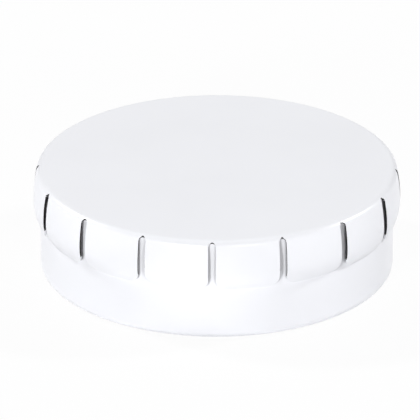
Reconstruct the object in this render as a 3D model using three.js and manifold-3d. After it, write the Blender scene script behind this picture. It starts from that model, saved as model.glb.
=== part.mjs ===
// Round press-to-open mint tin in lacquered tinplate: a drawn body with a rolled rim, and a drawn lid whose
// skirt is slit into spring fingers. Pressing the domed middle of the lid splays the fingers, which frees
// the body.
// Millimetres, +Z up. The origin is the centre of the ring that the tin stands on.
import * as THREE from "three";
import { mergeVertices } from "three/addons/utils/BufferGeometryUtils.js";
import Module from "manifold-3d";

const wasm = await Module();
wasm.setup();

// Sheet
const SHEET = 0.23; // thickness of the tinplate
const BEND = 0.45; // inside radius of the step pressed into the bottom

// Body
const BODY_RADIUS = 24.06; // outside of the wall
const BODY_HEIGHT = 14.35; // top of the rolled rim
const BODY_CORNER = 1.0; // outside radius where the wall turns into the bottom
const STANDING_RING = 0.9; // flat width of the ring that the tin stands on
const BOTTOM_RECESS = 0.4; // height of the bottom panel above that ring
const RIM_CURL = 0.5; // outside radius of the rolled rim
const RIM_CURL_TURN = 270; // degrees that the rim is rolled through

// Lid
const FINGER_COUNT = 16;
const FINGER_BELLY = 0.71; // how far the fingers belly out from the wall
const FINGER_TUCK = 2.43; // height from the belly down to the inner edge of the finger tips
const TIP_CLEARANCE = 0.08; // finger tips to the body's wall
const TIP_CORNER = 1.5; // radius of a finger's lower corners
const SKIRT_RISE = 3.8; // height from the belly up to the foot of the shoulder
const SKIRT_CURVE = 20; // outside radius of the skirt's curve above the belly
const SHOULDER = 1.0; // outside radius of the shoulder
const PANEL_SLOPE = 3.05; // degrees by which the domed panel falls where it meets the shoulder
const SEAT_CLEARANCE = 0.05; // lid panel to the rim that it rests on
const SLIT_WIDTH = 1.05;
const SLIT_REACH = 0.5; // how far the slits run up into the shoulder

// Lines along which the one sheet of the lid flexes as it works, and the hairline left along each
const PANEL_RIM = 3; // width of the panel's rim, outside the part that snaps down
const DOME_GAP = 0.05;
const FINGER_GAP = 0.02;

// Smoothness of the round shapes
const TURN_STEPS = 64;
const ARC_STEP = 30; // degrees between the points of a tight bend
const LONG_ARC_STEPS = 3; // steps along the gentle curves of the skirt and the panel
const SLIT_ARC_STEPS = 3;

// Tools reach this far past the sheet that they cut
const OVERCUT = 1;

// Points closer together than this are one point
const SAME_POINT = 1e-4;

const WHITE_LACQUER = { color: 0xeff0f4, roughness: 0.28, metalness: 0 };

const radians = THREE.MathUtils.degToRad;
const quarterTurn = Math.PI / 2;

// Lid profile: the skirt curves in from the belly to the foot of the shoulder, and the shoulder runs into
// the panel. These heights are counted from the belly.
const bellyRadius = BODY_RADIUS + FINGER_BELLY + SHEET;
const footAngle = Math.asin(SKIRT_RISE / SKIRT_CURVE);
const footRadius = bellyRadius - SKIRT_CURVE * (1 - Math.cos(footAngle));
const shoulderRadius = footRadius - SHOULDER * Math.cos(footAngle);
const shoulderRise = SKIRT_RISE - SHOULDER * Math.sin(footAngle);
const panelSlope = radians(PANEL_SLOPE);
const panelEdgeRadius = shoulderRadius + SHOULDER * Math.sin(panelSlope);
const panelCurve = panelEdgeRadius / Math.sin(panelSlope);
const domeRadius = panelEdgeRadius - PANEL_RIM;
const panelCentreRise = shoulderRise - (panelCurve - SHOULDER) * Math.cos(panelSlope);

// Below the belly the fingers curve in until their tips reach the wall.
const tuckDepth = FINGER_BELLY - TIP_CLEARANCE;
const tuckInsideCurve = (FINGER_TUCK ** 2 + tuckDepth ** 2) / (2 * tuckDepth);
const tuckCurve = tuckInsideCurve + SHEET;
const tipAngle = Math.asin(FINGER_TUCK / tuckInsideCurve);

// The lid's panel rests on the body's rim, which sets its height.
const rimRadius = BODY_RADIUS - RIM_CURL;
const seatRise = panelCentreRise + Math.sqrt((panelCurve - SHEET) ** 2 - rimRadius ** 2);
const bellyHeight = BODY_HEIGHT + SEAT_CLEARANCE - seatRise;
const flexHeight = bellyHeight + SKIRT_RISE;
const slitTop = flexHeight + SLIT_REACH;
const tipHeight = bellyHeight - tuckCurve * Math.sin(tipAngle);
const lidTop = bellyHeight + panelCentreRise + panelCurve;

const pitch = (2 * Math.PI) / FINGER_COUNT;

// Points of an arc in the plane of radius and height, each with the way out through the sheet's outside face.
// side is 1 where that face bulges and -1 where it is hollow.
function arc(centreRadius, centreHeight, radius, from, to, side, steps) {
  const count = steps ?? Math.ceil(Math.abs(to - from) / radians(ARC_STEP));
  return Array.from({ length: count + 1 }, (_, i) => {
    const angle = from + ((to - from) * i) / count;
    const ray = new THREE.Vector2(Math.cos(angle), Math.sin(angle));
    const point = new THREE.Vector2(centreRadius, centreHeight).addScaledVector(ray, radius);
    return { point, out: ray.multiplyScalar(side) };
  });
}

// A pressing: its outside face, drawn from the axis outwards, is thickened by the sheet and turned about Z.
function pressing(face) {
  const outside = face.filter(({ point }, i) => i === 0 || point.distanceTo(face[i - 1].point) > SAME_POINT);
  const inside = outside.map(({ point, out }) => point.clone().addScaledVector(out, -SHEET));
  const profile = [...outside.map(({ point }) => point), ...inside.reverse()];
  profile[0].x = 0;
  profile.at(-1).x = 0;
  if (THREE.ShapeUtils.isClockWise(profile)) {
    profile.reverse();
  }
  return new THREE.LatheGeometry(profile, TURN_STEPS).rotateX(quarterTurn);
}

// A closed mesh as a solid that can be cut.
function solidOf(geometry) {
  const bare = new THREE.BufferGeometry();
  bare.setAttribute("position", geometry.getAttribute("position"));
  bare.setIndex(geometry.getIndex());
  const merged = mergeVertices(bare, SAME_POINT);
  const vertProperties = merged.getAttribute("position").array;
  const triVerts = new Uint32Array(merged.getIndex().array);
  return new wasm.Manifold(new wasm.Mesh({ numProp: 3, vertProperties, triVerts }));
}

function geometryOf(solid) {
  const { vertProperties, triVerts } = solid.getMesh();
  const geometry = new THREE.BufferGeometry();
  geometry.setAttribute("position", new THREE.BufferAttribute(vertProperties, 3));
  geometry.setIndex(new THREE.BufferAttribute(triVerts, 1));
  geometry.computeVertexNormals();
  return geometry;
}

// Body: the bottom panel steps down to the standing ring, and the wall rises from it to a rim rolled inwards.
function bodyGeometry() {
  const stepCurves = 2 * BEND + SHEET;
  const stepAngle = Math.acos(1 - BOTTOM_RECESS / stepCurves);
  const ringOuter = BODY_RADIUS - BODY_CORNER;
  const ringInner = ringOuter - STANDING_RING;
  const panelRadius = ringInner - stepCurves * Math.sin(stepAngle);
  const panelMiddle = { point: new THREE.Vector2(0, BOTTOM_RECESS), out: new THREE.Vector2(0, -1) };
  return pressing([
    panelMiddle,
    ...arc(panelRadius, BOTTOM_RECESS - BEND, BEND, quarterTurn, quarterTurn - stepAngle, -1),
    ...arc(ringInner, BEND + SHEET, BEND + SHEET, -quarterTurn - stepAngle, -quarterTurn, 1),
    ...arc(ringOuter, BODY_CORNER, BODY_CORNER, -quarterTurn, 0, 1),
    ...arc(rimRadius, BODY_HEIGHT - RIM_CURL, RIM_CURL, 0, radians(RIM_CURL_TURN), 1),
  ]);
}

// Lid before it is slit: domed panel, shoulder, and a skirt that bellies out and tucks in.
function lidBlank() {
  const panelEnd = quarterTurn - panelSlope;
  return solidOf(
    pressing([
      ...arc(0, bellyHeight + panelCentreRise, panelCurve, quarterTurn, panelEnd, 1, LONG_ARC_STEPS),
      ...arc(shoulderRadius, bellyHeight + shoulderRise, SHOULDER, panelEnd, footAngle, 1),
      ...arc(bellyRadius - SKIRT_CURVE, bellyHeight, SKIRT_CURVE, footAngle, 0, 1, LONG_ARC_STEPS),
      ...arc(bellyRadius - tuckCurve, bellyHeight, tuckCurve, 0, -tipAngle, 1, LONG_ARC_STEPS),
    ]),
  );
}

// A punch for one slit, at a given angle about Z: round at the top, and flared at the mouth to round the
// finger tips.
function slitPunch(angle) {
  const half = SLIT_WIDTH / 2;
  const flare = half + TIP_CORNER;
  const flareHeight = tipHeight + TIP_CORNER;
  const outline = new THREE.Shape();
  outline.moveTo(flare, tipHeight - OVERCUT);
  outline.absarc(flare, flareHeight, TIP_CORNER, -quarterTurn, -2 * quarterTurn, true);
  outline.absarc(0, slitTop - half, half, 0, 2 * quarterTurn, false);
  outline.absarc(-flare, flareHeight, TIP_CORNER, 0, -quarterTurn, true);
  outline.lineTo(-flare, tipHeight - OVERCUT);
  const depth = bellyRadius + OVERCUT - shoulderRadius;
  const extent = { depth, bevelEnabled: false, curveSegments: SLIT_ARC_STEPS };
  const punch = new THREE.ExtrudeGeometry(outline, extent);
  const across = new THREE.Vector3(0, 1, 0);
  const up = new THREE.Vector3(0, 0, 1);
  const outwards = new THREE.Vector3(1, 0, 0);
  punch.translate(0, 0, shoulderRadius);
  punch.applyMatrix4(new THREE.Matrix4().makeBasis(across, up, outwards));
  return solidOf(punch.rotateZ(angle));
}

// A round cutting tool on the axis.
function disc(radius, bottom, top) {
  const tool = new THREE.CylinderGeometry(radius, radius, top - bottom, TURN_STEPS);
  return solidOf(tool.rotateX(quarterTurn).translate(0, 0, (bottom + top) / 2));
}

// The slice of the skirt between the middles of two slits, about the +X direction.
function fingerSlice() {
  const reach = 2 * bellyRadius;
  const outline = new THREE.Shape();
  outline.moveTo(0, 0);
  outline.lineTo(reach * Math.cos(pitch / 2), -reach * Math.sin(pitch / 2));
  outline.lineTo(reach * Math.cos(pitch / 2), reach * Math.sin(pitch / 2));
  return solidOf(new THREE.ExtrudeGeometry(outline, { depth: flexHeight - FINGER_GAP, bevelEnabled: false }));
}

// Crown: the rim of the panel and the shoulder, notched by the upper ends of the slits.
function crownGeometry(blank) {
  const shoulderRing = disc(bellyRadius + OVERCUT, flexHeight, lidTop + OVERCUT);
  let crown = blank.intersect(shoulderRing).subtract(disc(domeRadius + DOME_GAP, 0, lidTop + OVERCUT));
  for (let i = 0; i < FINGER_COUNT; i++) {
    crown = crown.subtract(slitPunch(i * pitch));
  }
  return geometryOf(crown);
}

// Press dome: the middle of the panel.
function domeGeometry(blank) {
  return geometryOf(blank.intersect(disc(domeRadius, 0, lidTop + OVERCUT)));
}

// One spring finger, about the +X direction.
function fingerGeometry(blank) {
  const slice = blank.intersect(fingerSlice());
  return geometryOf(slice.subtract(slitPunch(-pitch / 2)).subtract(slitPunch(pitch / 2)));
}

function piece(name, geometry) {
  const mesh = new THREE.Mesh(geometry, new THREE.MeshStandardMaterial(WHITE_LACQUER));
  mesh.name = name;
  return mesh;
}

const blank = lidBlank();

const lid = new THREE.Group();
lid.add(piece("lid_crown", crownGeometry(blank)));
lid.add(piece("press_dome", domeGeometry(blank)));
const fingerShape = fingerGeometry(blank);
for (let i = 0; i < FINGER_COUNT; i++) {
  const finger = piece(`finger_${String(i + 1).padStart(2, "0")}`, fingerShape);
  finger.rotation.z = (i + 0.5) * pitch;
  lid.add(finger);
}

const tin = new THREE.Group();
tin.add(piece("body_cup", bodyGeometry()));
tin.add(lid);

export default tin;
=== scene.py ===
import math

import bpy
import numpy as np
from mathutils import Matrix


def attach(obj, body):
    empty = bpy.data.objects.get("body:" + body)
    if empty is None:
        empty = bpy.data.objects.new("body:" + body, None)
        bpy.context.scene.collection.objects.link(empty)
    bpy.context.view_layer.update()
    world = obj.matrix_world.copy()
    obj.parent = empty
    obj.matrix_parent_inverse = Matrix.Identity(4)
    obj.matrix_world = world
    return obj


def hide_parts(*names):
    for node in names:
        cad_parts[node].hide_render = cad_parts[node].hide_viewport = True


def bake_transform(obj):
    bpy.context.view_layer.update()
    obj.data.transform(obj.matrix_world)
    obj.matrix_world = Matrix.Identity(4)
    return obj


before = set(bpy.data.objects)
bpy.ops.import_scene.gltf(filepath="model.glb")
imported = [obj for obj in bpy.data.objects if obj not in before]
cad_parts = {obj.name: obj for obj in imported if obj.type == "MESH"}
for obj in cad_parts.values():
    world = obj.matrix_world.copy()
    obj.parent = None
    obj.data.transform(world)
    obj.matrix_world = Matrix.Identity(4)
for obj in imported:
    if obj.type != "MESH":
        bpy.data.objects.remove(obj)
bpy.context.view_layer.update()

# Body
# The body is a cup drawn from one disc of tinplate, lacquered white outside and left bright inside.
# Its bottom panel is stepped up from a narrow standing ring, and its raw edge is rolled inwards.
MM = 0.001
SHEET = 0.23 * MM
BODY_RADIUS = 24.06 * MM
BODY_HEIGHT = 14.35 * MM
BODY_CORNER = 1.0 * MM
STANDING_RING = 0.9 * MM
STANDING_WEAR = 0.06 * MM
BOTTOM_RECESS = 0.4 * MM
BOTTOM_BEND = 0.45 * MM
RIM_CURL = 0.5 * MM
RIM_CURL_TURN = math.radians(270)
QUARTER_TURN = math.pi / 2

BOTTOM_STEPS = 12
BEND_STEPS = 8
RING_STEPS = 3
CORNER_STEPS = 12
WALL_STEPS = 16
CURL_STEPS = 24
BODY_TURN_STEPS = 240

LACQUER_WHITE = (0.863, 0.871, 0.905, 1)
LACQUER_ROUGHNESS = 0.34
LACQUER_CLOUDING = 0.02
LACQUER_PEEL_DEPTH = 0.003 * MM
TIN_GREY = (0.44, 0.436, 0.424, 1)
TIN_ROUGHNESS = 0.32
TIN_LINE_DEPTH = 0.001 * MM
# Near black, much darker than bare steel: in this colour the cut edges and faces paint the shade of the gaps
# behind the slits and under the notches.
STEEL_GREY_AND_PAINTED_SHADE = (0.06, 0.06, 0.061, 1)
CUT_ROUGHNESS = 0.45
CUT_LINE_DEPTH = 0.002 * MM
GLOSS_VARIATION = 0.15
DARKEST_GRAIN = 0.9

# Where the rub passes these thresholds, give or take the raggedness, a face or a cut edge takes the
# near-black
# steel colour: bare metal, and painted shade along the slits and at the notches.
FACE_BARE_THRESHOLD = 1.0
EDGE_BARE_THRESHOLD = 0.5
WEAR_RAGGEDNESS = 0.3
WEAR_SHARPNESS = 6

# Each noise pattern has its repeats in a metre and its layers of finer detail. The rolling lines have their
# repeats along X, Y and Z, so their own pattern keeps a scale of 1. A noise value stays about low to high.
LACQUER_CLOUDS = (70, 2)
LACQUER_PATCHES = (330, 4)
LACQUER_PEEL = (1500, 1)
WEAR_CRUMBS = (2600, 3)
TIN_MOTTLE = (420, 3)
ROLLING_LINES_PER_METRE = (60, 4200, 900)
ROLLING_LINE_NOISE = (1, 3)
NOISE_LOW = 0.3
NOISE_HIGH = 0.7

# A Mix node keeps the sockets for its factor and for two colours among those for numbers and vectors.
MIX_COLOUR_INPUTS = (0, 6, 7)
MIX_COLOUR_OUTPUT = 2


def arc(centre_radius, centre_height, radius, start, end, steps):
    """Points of an arc in the plane of radius and height: the centre plus radius times the cosine and the
    sine of evenly spaced angles."""
    angle = np.linspace(start, end, steps + 1)
    return np.stack([centre_radius + radius * np.cos(angle), centre_height + radius * np.sin(angle)], axis=1)


def straight(start, end, steps):
    """Evenly spaced points of a straight line between two points, without the two ends."""
    return np.linspace(start, end, steps + 1)[1:-1]


def turned(radius, turn, height):
    """A grid of points about the axis: x is the radius times the cosine of the turn, y is the radius times
    its sine, and z is the height."""
    return np.stack([radius * np.cos(turn), radius * np.sin(turn), height + 0 * turn], axis=2)


def sheet_mesh(name, points, rub, ring, flip):
    """Mesh of the lacquered face of a sheet over a grid of points, rows by columns by x, y, z: each four
    neighbours make a face. In a ring the last column joins the first, and the first row, which is on the
    axis, becomes one point. flip turns the faces over. rub is the grid of how much the lacquer is rubbed,
    from 0 to 1 and past it; it also marks where edges and faces are painted near black as shade at the slits
    and notches."""
    rows, columns = rub.shape
    pole = columns - 1 if ring else 0
    index = np.maximum(np.arange(rows * columns).reshape(rows, columns) - pole, 0)
    if ring:
        index[0] = 0
        index = np.hstack([index, index[:, :1]])
    near, far = index[:-1], index[1:]
    faces = np.stack([near[:, :-1], near[:, 1:], far[:, 1:], far[:, :-1]], axis=2)
    faces = faces[..., ::-1] if flip else faces
    quads = faces[1:] if ring else faces
    fan = np.stack([near[0, :-1], far[0, 1:], far[0, :-1]], axis=1) if ring else np.zeros((0, 3), int)
    fan = fan[:, ::-1] if flip else fan
    mesh = bpy.data.meshes.new(name)
    mesh.from_pydata(points.reshape(-1, 3)[pole:].tolist(), [], fan.tolist() + quads.reshape(-1, 4).tolist())
    rub_data = mesh.attributes.new("rub", "FLOAT", "POINT").data
    rub_data.foreach_set("value", rub.ravel()[pole:].astype(np.float32))
    mesh.shade_smooth()
    mark_outline_sharp(mesh)
    return mesh


def mark_outline_sharp(mesh):
    """Marks the edges that only one face uses as sharp, so that the cut edge shades apart from the faces."""
    uses = np.zeros(len(mesh.loops), int)
    mesh.loops.foreach_get("edge_index", uses)
    outline = np.bincount(uses, minlength=len(mesh.edges)) == 1
    mesh.attributes.new("sharp_edge", "BOOLEAN", "EDGE").data.foreach_set("value", outline)


def sheet_piece(name, mesh, finishes):
    """A piece of tinplate: the mesh is its lacquered face, and a Solidify gives it the sheet's thickness
    inwards. The finishes are the lacquered face's, the bare inside's and the cut edge's."""
    piece = bpy.data.objects.new(name, mesh)
    bpy.context.scene.collection.objects.link(piece)
    for finish in finishes:
        mesh.materials.append(finish)
    sheet = piece.modifiers.new("sheet", "SOLIDIFY")
    sheet.thickness = SHEET
    sheet.offset = -1
    sheet.use_even_offset = True
    sheet.material_offset = 1
    sheet.material_offset_rim = 2
    return piece


def feed(tree, plug, value):
    """Sets a node's input to a value, or links it to another node's output."""
    if isinstance(value, bpy.types.NodeSocket):
        tree.links.new(value, plug)
    else:
        plug.default_value = value


def add_node(tree, kind, **values):
    """A shader node whose named inputs are set to values or linked to other nodes' outputs."""
    node = tree.nodes.new("ShaderNode" + kind)
    for socket, value in values.items():
        feed(tree, node.inputs[socket.replace("_", " ")], value)
    return node


def add_math(tree, operation, first, second):
    """The output of a Math node on two values or outputs."""
    node = tree.nodes.new("ShaderNodeMath")
    node.operation = operation
    feed(tree, node.inputs[0], first)
    feed(tree, node.inputs[1], second)
    return node.outputs["Value"]


def add_mix(tree, blend_type, factor, first, second):
    """The colour output of a Mix node on two colours."""
    node = tree.nodes.new("ShaderNodeMix")
    node.data_type = "RGBA"
    node.blend_type = blend_type
    for socket, value in zip(MIX_COLOUR_INPUTS, (factor, first, second)):
        feed(tree, node.inputs[socket], value)
    return node.outputs[MIX_COLOUR_OUTPUT]


def noise(tree, place, per_metre, detail):
    """The value of a noise pattern at a place."""
    return add_node(tree, "TexNoise", Vector=place, Scale=per_metre, Detail=detail).outputs["Fac"]


def spread(tree, value, low, high):
    """A noise value, which stays about NOISE_LOW to NOISE_HIGH, stretched to run from low to high."""
    ends = {"From_Min": NOISE_LOW, "From_Max": NOISE_HIGH, "To_Min": low, "To_Max": high}
    return add_node(tree, "MapRange", Value=value, **ends).outputs["Result"]


def spread_roughness(tree, value, roughness):
    """A roughness that a noise value varies by GLOSS_VARIATION of itself either way."""
    smoothest = add_math(tree, "MULTIPLY", roughness, 1 - GLOSS_VARIATION)
    roughest = add_math(tree, "MULTIPLY", roughness, 1 + GLOSS_VARIATION)
    return spread(tree, value, smoothest, roughest)


def new_group(name, inputs, outputs):
    """An empty shader node group with float sockets, and its input and output nodes."""
    group = bpy.data.node_groups.new(name, "ShaderNodeTree")
    for label, value in inputs.items():
        socket = group.interface.new_socket(label, in_out="INPUT", socket_type="NodeSocketFloat")
        socket.default_value = value
    for label in outputs:
        group.interface.new_socket(label, in_out="OUTPUT", socket_type="NodeSocketFloat")
    return group, group.nodes.new("NodeGroupInput").outputs, group.nodes.new("NodeGroupOutput").inputs


def use_group(tree, group, **values):
    """The outputs of a node group placed in a material with its own values."""
    node = tree.nodes.new("ShaderNodeGroup")
    node.node_tree = group
    for socket, value in values.items():
        feed(tree, node.inputs[socket], value)
    return node.outputs


def lacquer_film_group():
    """Stoved lacquer: slow clouding of the colour, patches of duller gloss, and its surface's fine peel."""
    inputs = {"Clouding": LACQUER_CLOUDING, "Roughness": LACQUER_ROUGHNESS}
    group, given, made = new_group("lacquer_film", inputs, ("Shade", "Dulling", "Peel"))
    place = add_node(group, "TexCoord").outputs["Object"]
    clouds = noise(group, place, *LACQUER_CLOUDS)
    patches = noise(group, place, *LACQUER_PATCHES)
    peel = noise(group, place, *LACQUER_PEEL)
    darkest = add_math(group, "SUBTRACT", 1, given["Clouding"])
    group.links.new(spread(group, clouds, darkest, 1), made["Shade"])
    group.links.new(spread_roughness(group, patches, given["Roughness"]), made["Dulling"])
    group.links.new(peel, made["Peel"])
    return group


def rubbed_edge_group():
    """The mask of the near-black steel: the rub value broken up by fine noise. It marks lacquer rubbed
    through to the metal, and painted shade along the slits and at the notches.
    """
    inputs = {"Rub": 0, "Threshold": FACE_BARE_THRESHOLD}
    group, given, made = new_group("rubbed_edge", inputs, ("Bare",))
    place = add_node(group, "TexCoord").outputs["Object"]
    crumbs = spread(group, noise(group, place, *WEAR_CRUMBS), -WEAR_RAGGEDNESS, WEAR_RAGGEDNESS)
    worn = add_math(group, "ADD", given["Rub"], crumbs)
    over = add_math(group, "SUBTRACT", worn, given["Threshold"])
    sharpened = add_math(group, "MULTIPLY", over, WEAR_SHARPNESS)
    group.links.new(add_node(group, "Clamp", Value=sharpened).outputs["Result"], made["Bare"])
    return group


def rolled_grain_group():
    """Tinplate as it leaves the mill: fine lines along the rolling direction, X, and a slow mottle of the
    tin. The mean of the two varies the shade and the roughness."""
    inputs = {"Roughness": TIN_ROUGHNESS}
    group, given, made = new_group("rolled_grain", inputs, ("Shade", "Dulling", "Lines"))
    place = add_node(group, "TexCoord").outputs["Object"]
    lines_place = add_node(group, "Mapping", Vector=place, Scale=ROLLING_LINES_PER_METRE).outputs["Vector"]
    lines = noise(group, lines_place, *ROLLING_LINE_NOISE)
    mottle = noise(group, place, *TIN_MOTTLE)
    mean = add_math(group, "MULTIPLY", add_math(group, "ADD", lines, mottle), 0.5)
    group.links.new(spread(group, mean, DARKEST_GRAIN, 1), made["Shade"])
    group.links.new(spread_roughness(group, mean, given["Roughness"]), made["Dulling"])
    group.links.new(lines, made["Lines"])
    return group


def new_material(name):
    """A material with nodes, its node tree and its Principled shader."""
    material = bpy.data.materials.new(name)
    material.use_nodes = True
    tree = material.node_tree
    return material, tree, tree.nodes["Principled BSDF"]


def bare_and_shade_mask(tree, rubbed_edge, threshold):
    """The mask of the near-black steel, from the sheet's rub attribute: bare metal, and painted shade along
    the slits and at the notches.
    """
    rub = add_node(tree, "Attribute")
    rub.attribute_name = "rub"
    return use_group(tree, rubbed_edge, Rub=rub.outputs["Fac"], Threshold=threshold)["Bare"]


def lacquer_material(name, lacquer_film, rubbed_edge):
    """Gloss white lacquer on tinplate, near black where the mask says bare: metal rubbed through where the
    tin stands and along the slit sides, and painted shade at the notches and above their round ends.
    """
    material, tree, shader = new_material(name)
    film = use_group(tree, lacquer_film, Clouding=LACQUER_CLOUDING, Roughness=LACQUER_ROUGHNESS)
    bare = bare_and_shade_mask(tree, rubbed_edge, FACE_BARE_THRESHOLD)
    paint = add_mix(tree, "MULTIPLY", 1.0, LACQUER_WHITE, film["Shade"])
    bump = add_node(tree, "Bump", Strength=1, Distance=LACQUER_PEEL_DEPTH, Height=film["Peel"])
    tree.links.new(add_mix(tree, "MIX", bare, paint, STEEL_GREY_AND_PAINTED_SHADE), shader.inputs["Base Color"])
    tree.links.new(film["Dulling"], shader.inputs["Roughness"])
    tree.links.new(bare, shader.inputs["Metallic"])
    tree.links.new(bump.outputs["Normal"], shader.inputs["Normal"])
    return material


def cut_edge_material(name, rolled_grain, rubbed_edge):
    """The sheet's cut edge: near-black grained steel where the mask says bare, which paints the shade of the
    gaps along the slits and under the notches, and lacquer white elsewhere.
    """
    material, tree, shader = new_material(name)
    grain = use_group(tree, rolled_grain, Roughness=CUT_ROUGHNESS)
    bare = bare_and_shade_mask(tree, rubbed_edge, EDGE_BARE_THRESHOLD)
    steel = add_mix(tree, "MULTIPLY", 1.0, STEEL_GREY_AND_PAINTED_SHADE, grain["Shade"])
    bump = add_node(tree, "Bump", Strength=1, Distance=CUT_LINE_DEPTH, Height=grain["Lines"])
    tree.links.new(add_mix(tree, "MIX", bare, LACQUER_WHITE, steel), shader.inputs["Base Color"])
    tree.links.new(grain["Dulling"], shader.inputs["Roughness"])
    tree.links.new(bare, shader.inputs["Metallic"])
    tree.links.new(bump.outputs["Normal"], shader.inputs["Normal"])
    return material


def bright_inside_material(name, rolled_grain):
    """Bare tinplate with its rolled grain."""
    material, tree, shader = new_material(name)
    shader.inputs["Metallic"].default_value = 1
    grain = use_group(tree, rolled_grain, Roughness=TIN_ROUGHNESS)
    bump = add_node(tree, "Bump", Strength=1, Distance=TIN_LINE_DEPTH, Height=grain["Lines"])
    tree.links.new(add_mix(tree, "MULTIPLY", 1.0, TIN_GREY, grain["Shade"]), shader.inputs["Base Color"])
    tree.links.new(grain["Dulling"], shader.inputs["Roughness"])
    tree.links.new(bump.outputs["Normal"], shader.inputs["Normal"])
    return material


lacquer_film = lacquer_film_group()
rubbed_edge = rubbed_edge_group()
rolled_grain = rolled_grain_group()
bright_inside = bright_inside_material("bright_tinplate", rolled_grain)
cut_edge = cut_edge_material("cut_edge_steel_and_painted_shade", rolled_grain, rubbed_edge)
body_lacquer = lacquer_material("white_lacquer_on_body", lacquer_film, rubbed_edge)

bend_outside = BOTTOM_BEND + SHEET
step_curves = BOTTOM_BEND + bend_outside
step_angle = math.acos(1 - BOTTOM_RECESS / step_curves)
ring_outer = BODY_RADIUS - BODY_CORNER
ring_inner = ring_outer - STANDING_RING
panel_radius = ring_inner - step_curves * math.sin(step_angle)
bend_height = BOTTOM_RECESS - BOTTOM_BEND
rim_radius = BODY_RADIUS - RIM_CURL
rim_height = BODY_HEIGHT - RIM_CURL
body_profile = np.concatenate([
    [[0, BOTTOM_RECESS]],
    straight([0, BOTTOM_RECESS], [panel_radius, BOTTOM_RECESS], BOTTOM_STEPS),
    arc(panel_radius, bend_height, BOTTOM_BEND, QUARTER_TURN, QUARTER_TURN - step_angle, BEND_STEPS),
    arc(ring_inner, bend_outside, bend_outside, -QUARTER_TURN - step_angle, -QUARTER_TURN, BEND_STEPS)[1:],
    straight([ring_inner, 0], [ring_outer, 0], RING_STEPS),
    arc(ring_outer, BODY_CORNER, BODY_CORNER, -QUARTER_TURN, 0, CORNER_STEPS),
    straight([BODY_RADIUS, BODY_CORNER], [BODY_RADIUS, rim_height], WALL_STEPS),
    arc(rim_radius, rim_height, RIM_CURL, 0, RIM_CURL_TURN, CURL_STEPS),
])
body_turn = np.linspace(0, 2 * math.pi, BODY_TURN_STEPS, endpoint=False)
body_radius = body_profile[:, :1]
body_height = body_profile[:, 1:]

# The lacquer is rubbed where the tin stands, and the raw edge inside the rolled rim is bare.
standing_rub = np.exp(-np.abs(body_height) / STANDING_WEAR) * (body_radius > ring_inner)
body_rub = standing_rub + 0 * body_turn
body_rub[-1] = 1

body_points = turned(body_radius, body_turn, body_height)
body_mesh = sheet_mesh("body", body_points, body_rub, ring=True, flip=False)
body = sheet_piece("body", body_mesh, (body_lacquer, bright_inside, cut_edge))
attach(body, "body")
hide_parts("body_cup")

# Lid top
# The lid is one pressing of the same tinplate: a slightly domed panel and a tight rounded shoulder, in which
# the slits of the skirt end in round notches. On the tin the dome snaps down when its middle is pressed, so
# the sheet bends between the rim, which stays up, and the middle; here the top is built at rest.
FINGER_COUNT = 16
FINGER_BELLY = 0.71 * MM
FINGER_TUCK = 2.43 * MM
TIP_CLEARANCE = 0.08 * MM
TIP_CORNER = 1.5 * MM
SKIRT_RISE = 3.8 * MM
SKIRT_CURVE = 20 * MM
SHOULDER = 1.0 * MM
PANEL_SLOPE = math.radians(3.05)
SEAT_CLEARANCE = 0.05 * MM
SLIT_WIDTH = 1.05 * MM
SLIT_REACH = 0.5 * MM
SLIT_END_SHADE_REACH = 0.32 * MM
SLIT_END_SHADE = 1.5
PANEL_ROWS = 22
SHOULDER_ROWS = 16
SLIT_COLUMNS = 12
FINGER_COLUMNS = 20

belly_radius = BODY_RADIUS + FINGER_BELLY + SHEET
foot_angle = math.asin(SKIRT_RISE / SKIRT_CURVE)
foot_radius = belly_radius - SKIRT_CURVE * (1 - math.cos(foot_angle))
shoulder_radius = foot_radius - SHOULDER * math.cos(foot_angle)
shoulder_rise = SKIRT_RISE - SHOULDER * math.sin(foot_angle)
panel_edge_radius = shoulder_radius + SHOULDER * math.sin(PANEL_SLOPE)
panel_curve = panel_edge_radius / math.sin(PANEL_SLOPE)
panel_centre_rise = shoulder_rise - (panel_curve - SHOULDER) * math.cos(PANEL_SLOPE)
seat_rise = panel_centre_rise + math.sqrt((panel_curve - SHEET) ** 2 - rim_radius**2)
belly_height = BODY_HEIGHT + SEAT_CLEARANCE - seat_rise
flex_height = belly_height + SKIRT_RISE
slit_top = flex_height + SLIT_REACH
shoulder_height = belly_height + shoulder_rise
slit_half = SLIT_WIDTH / 2
pitch = 2 * math.pi / FINGER_COUNT

# Across one pitch the columns crowd at the sides of the slit: sine spacing over the slit, even spacing over
# the finger.
across_slit = slit_half * np.sin(np.linspace(-QUARTER_TURN, QUARTER_TURN, SLIT_COLUMNS + 1))
across_finger = np.linspace(slit_half, foot_radius * pitch - slit_half, FINGER_COLUMNS + 1)[1:-1]
across = np.concatenate([across_slit, across_finger])
from_slit = np.tile(np.concatenate([across_slit, np.full(len(across_finger), slit_half)]), FINGER_COUNT)
lid_turn = (np.arange(FINGER_COUNT)[:, None] * pitch + across / foot_radius).ravel()

# The lower edge of the shoulder is the flex line, raised to the round end of each slit.
notch_height = slit_top - slit_half + np.sqrt(np.maximum(slit_half**2 - from_slit**2, 0))
edge_height = np.maximum(notch_height, flex_height)
edge_angle = np.arcsin((edge_height - shoulder_height) / SHOULDER)
panel_end = QUARTER_TURN - PANEL_SLOPE
panel_angle = np.linspace(QUARTER_TURN, panel_end, PANEL_ROWS + 1)[:, None]
shoulder_share = np.linspace(0, 1, SHOULDER_ROWS + 1)[1:, None]
shoulder_angle = panel_end + shoulder_share * (edge_angle - panel_end)
lid_radius = np.concatenate([
    panel_curve * np.cos(panel_angle) + 0 * lid_turn,
    shoulder_radius + SHOULDER * np.cos(shoulder_angle),
])
lid_height = np.concatenate([
    belly_height + panel_centre_rise + panel_curve * np.sin(panel_angle) + 0 * lid_turn,
    shoulder_height + SHOULDER * np.sin(shoulder_angle),
])
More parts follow.
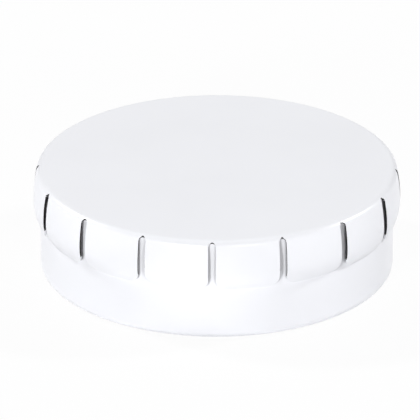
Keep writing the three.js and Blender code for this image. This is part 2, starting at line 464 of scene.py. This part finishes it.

# Along the notches the cut edge, and above their round ends the face, are painted near black as painted shade
# of the slit tops: above the ends by the square of the notch's rise, and by a bell curve of the distance from
# the edge.
notch_rise = np.maximum(edge_height - flex_height, 0) / SLIT_REACH
edge_distance = SHOULDER * (shoulder_angle - edge_angle)
slit_end_shade = SLIT_END_SHADE * notch_rise**2 * np.exp(-((edge_distance / SLIT_END_SHADE_REACH) ** 2))
lid_painted_shade = np.zeros(lid_radius.shape)
lid_painted_shade[-1] = edge_height > flex_height
lid_painted_shade[-SHOULDER_ROWS:] = np.maximum(lid_painted_shade[-SHOULDER_ROWS:], slit_end_shade)

lid_lacquer = lacquer_material("white_lacquer_on_lid", lacquer_film, rubbed_edge)
lid_points = turned(lid_radius, lid_turn, lid_height)
lid_mesh = sheet_mesh("lid_top", lid_points, lid_painted_shade, ring=True, flip=True)
lid_top = sheet_piece("lid_top", lid_mesh, (lid_lacquer, bright_inside, cut_edge))
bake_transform(lid_top)
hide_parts("lid_crown", "press_dome")

# Spring fingers
# The skirt below the shoulder is slit into fingers of the same sheet. Each bellies out and tucks in to the
# body's wall, with rounded lower corners. On the tin each bends outwards at its root when the dome is
# pressed;
# here they are built at rest.
FINGER_UPPER_ROWS = 14
FINGER_LOWER_ROWS = 10
CORNER_ROWS = 12
EDGE_STRIP = 0.09 * MM
SHADED_EDGE_CORNER_SHARE = 0.35

tuck_depth = FINGER_BELLY - TIP_CLEARANCE
tuck_inside_curve = (FINGER_TUCK**2 + tuck_depth**2) / (2 * tuck_depth)
tuck_curve = tuck_inside_curve + SHEET
tip_angle = math.asin(FINGER_TUCK / tuck_inside_curve)
tip_height = belly_height - tuck_curve * math.sin(tip_angle)
corner_height = tip_height + TIP_CORNER

# Heights down the finger: to the belly, on to the lower corners, and round them by the sine of an even angle.
corner_turn = np.linspace(0, QUARTER_TURN, CORNER_ROWS + 1)
finger_height = np.concatenate([
    np.linspace(flex_height, belly_height, FINGER_UPPER_ROWS + 1),
    np.linspace(belly_height, corner_height, FINGER_LOWER_ROWS + 1)[1:],
    (corner_height - TIP_CORNER * np.sin(corner_turn))[1:],
])[:, None]

# The finger is an arc of the skirt's curve above the belly and of the tuck's below it. Its sides follow the
# slit, and quarter circles at the lower corners.
finger_curve = np.where(finger_height > belly_height, SKIRT_CURVE, tuck_curve)
finger_radius = belly_radius - finger_curve + np.sqrt(finger_curve**2 - (finger_height - belly_height) ** 2)
below_corner = np.minimum(np.maximum(corner_height - finger_height, 0) / TIP_CORNER, 1)
slit_side = slit_half + TIP_CORNER * (1 - np.sqrt(1 - below_corner**2))
half_turn = pitch / 2 - np.arcsin(slit_side / finger_radius)

# Columns across the finger: even, with a narrow strip along each side for the rubbed edge. Along the slits
# the cut edge is painted near black, as painted shade of the gap behind the finger, and the face's lacquer is
# rubbed through at its edge; round the lower corners, where the finger comes to the wall, the edge is lacquer
# white.
strip = EDGE_STRIP / (half_turn * finger_radius)
even = np.linspace(-1, 1, FINGER_COLUMNS + 1)
share = np.concatenate([-1 + 0 * strip, (1 - strip) * even, 1 + 0 * strip], axis=1)
finger_rub_and_shade = np.where(np.abs(share) == 1, np.maximum(1 - below_corner / SHADED_EDGE_CORNER_SHARE, 0), 0.0)

for number in range(1, FINGER_COUNT + 1):
    turn = (number - 0.5) * pitch + share * half_turn
    body_name = f"finger_{number:02d}"
    name = f"spring_finger_{number:02d}"
    finger_points = turned(finger_radius, turn, finger_height)
    finger_mesh = sheet_mesh(name, finger_points, finger_rub_and_shade, ring=False, flip=True)
    finger = sheet_piece(name, finger_mesh, (lid_lacquer, bright_inside, cut_edge))
    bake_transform(finger)
    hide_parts(body_name)

# Floor
# A wide matt white table. The camera and reflections see it nearly white, with a share of its own shading, so
# that the tin keeps a soft shadow.
FLOOR_HALF = 3.0
FLOOR_DROP = 0.01 * MM
FLOOR_COLOUR = (0.85, 0.85, 0.86, 1)
FLOOR_ROUGHNESS = 0.9
FLOOR_SHADING_SHARE = 0.05
WHITE = (1, 1, 1, 1)


def seen_directly(tree):
    """1 for rays from the camera and for mirror and glass rays, else 0."""
    path = add_node(tree, "LightPath").outputs
    seen = add_math(tree, "MAXIMUM", path["Is Camera Ray"], path["Is Glossy Ray"])
    return add_math(tree, "MAXIMUM", seen, path["Is Transmission Ray"])


floor_material, floor_tree, floor_shader = new_material("matt_white_table")
floor_shader.inputs["Base Color"].default_value = FLOOR_COLOUR
floor_shader.inputs["Roughness"].default_value = FLOOR_ROUGHNESS
floor_shader.inputs["Specular IOR Level"].default_value = 0
white_glow = add_node(floor_tree, "Emission", Color=WHITE, Strength=1)
floor_white = add_math(floor_tree, "MULTIPLY", seen_directly(floor_tree), 1 - FLOOR_SHADING_SHARE)
floor_mix = add_node(floor_tree, "MixShader", Fac=floor_white)
floor_tree.links.new(floor_shader.outputs["BSDF"], floor_mix.inputs[1])
floor_tree.links.new(white_glow.outputs["Emission"], floor_mix.inputs[2])
floor_tree.links.new(floor_mix.outputs["Shader"], floor_tree.nodes["Material Output"].inputs["Surface"])

side = np.array([-FLOOR_HALF, FLOOR_HALF])
floor_x, floor_y = np.meshgrid(side, side)
floor_points = np.stack([floor_x, floor_y, 0 * floor_x - FLOOR_DROP], axis=2)
floor_mesh = bpy.data.meshes.new("table")
floor_mesh.from_pydata(floor_points.reshape(-1, 3).tolist(), [], [(0, 1, 3, 2)])
floor_mesh.materials.append(floor_material)
table = bpy.data.objects.new("table", floor_mesh)
bpy.context.scene.collection.objects.link(table)

# Light
# Four softboxes: two in front, which light the slits, and two behind the tin's sides, which light its flanks
# and its top. Each has its azimuth and elevation in degrees and its power in watts.
LIGHT_DISTANCE = 1.5
LIGHT_SIZE = 0.15
SOFTBOXES = {
    "front_left_softbox": (-20, 14, 12.2),
    "front_right_softbox": (18, 16, 5.7),
    "back_left_softbox": (-118, 40, 14.0),
    "back_right_softbox": (108, 36, 13.5),
}
tin_middle = np.array([0, 0, belly_height])


def direction(azimuth, elevation):
    """The unit vector from the tin towards a place at that azimuth, from -Y round to +X, and elevation."""
    level = math.cos(elevation)
    return np.array([math.sin(azimuth) * level, -math.cos(azimuth) * level, math.sin(elevation)])


def aim(thing, place, target):
    """Puts a lamp or a camera at a place and turns it towards a target, with its top upwards."""
    back = (place - target) / np.linalg.norm(place - target)
    right = np.cross([0, 0, 1], back)
    right = right / np.linalg.norm(right)
    matrix = np.eye(4)
    matrix[:3] = np.stack([right, np.cross(back, right), back, place], axis=1)
    thing.matrix_world = Matrix(matrix.tolist())


def softbox(name, azimuth, elevation, power):
    """A square area lamp that faces the tin."""
    lamp = bpy.data.lights.new(name, "AREA")
    lamp.size = LIGHT_SIZE
    lamp.energy = power
    lamp_object = bpy.data.objects.new(name, lamp)
    bpy.context.scene.collection.objects.link(lamp_object)
    aim(lamp_object, tin_middle + LIGHT_DISTANCE * direction(azimuth, elevation), tin_middle)


for name, (azimuth, elevation, power) in SOFTBOXES.items():
    softbox(name, math.radians(azimuth), math.radians(elevation), power)

world = bpy.data.worlds.new("studio")
world.use_nodes = True
bpy.context.scene.world = world
around = world.node_tree.nodes["Background"]
around.inputs["Color"].default_value = WHITE
world.node_tree.links.new(seen_directly(world.node_tree), around.inputs["Strength"])
bpy.context.scene.view_settings.view_transform = "Standard"

# Camera
# A long lens from the front, a little to the right and well above, aimed so that the tin sits a little above
# and to the right of the middle of the picture. The two offsets and the focal length are in pixels.
PICTURE = 420
CAMERA_AZIMUTH = math.radians(1.51)
CAMERA_ELEVATION = math.radians(24.55)
CAMERA_DISTANCE = 1.2
CAMERA_NEAREST = 0.01
SENSOR_WIDTH = 36
FOCAL_PIXELS = 8800
TIN_RIGHT_OF_MIDDLE = 6.9
TIN_ABOVE_MIDDLE = 13.1

camera = bpy.data.objects.new("camera", bpy.data.cameras.new("camera"))
bpy.context.scene.collection.objects.link(camera)
camera.data.sensor_width = SENSOR_WIDTH
camera.data.lens = SENSOR_WIDTH * FOCAL_PIXELS / PICTURE
camera.data.clip_start = CAMERA_NEAREST
camera_back = direction(CAMERA_AZIMUTH, CAMERA_ELEVATION)
camera_right = np.array([math.cos(CAMERA_AZIMUTH), math.sin(CAMERA_AZIMUTH), 0])
camera_up = np.cross(camera_back, camera_right)
pixel = CAMERA_DISTANCE / FOCAL_PIXELS
target = tin_middle - pixel * (TIN_RIGHT_OF_MIDDLE * camera_right + TIN_ABOVE_MIDDLE * camera_up)
aim(camera, tin_middle + CAMERA_DISTANCE * camera_back, target)
bpy.context.scene.camera = camera
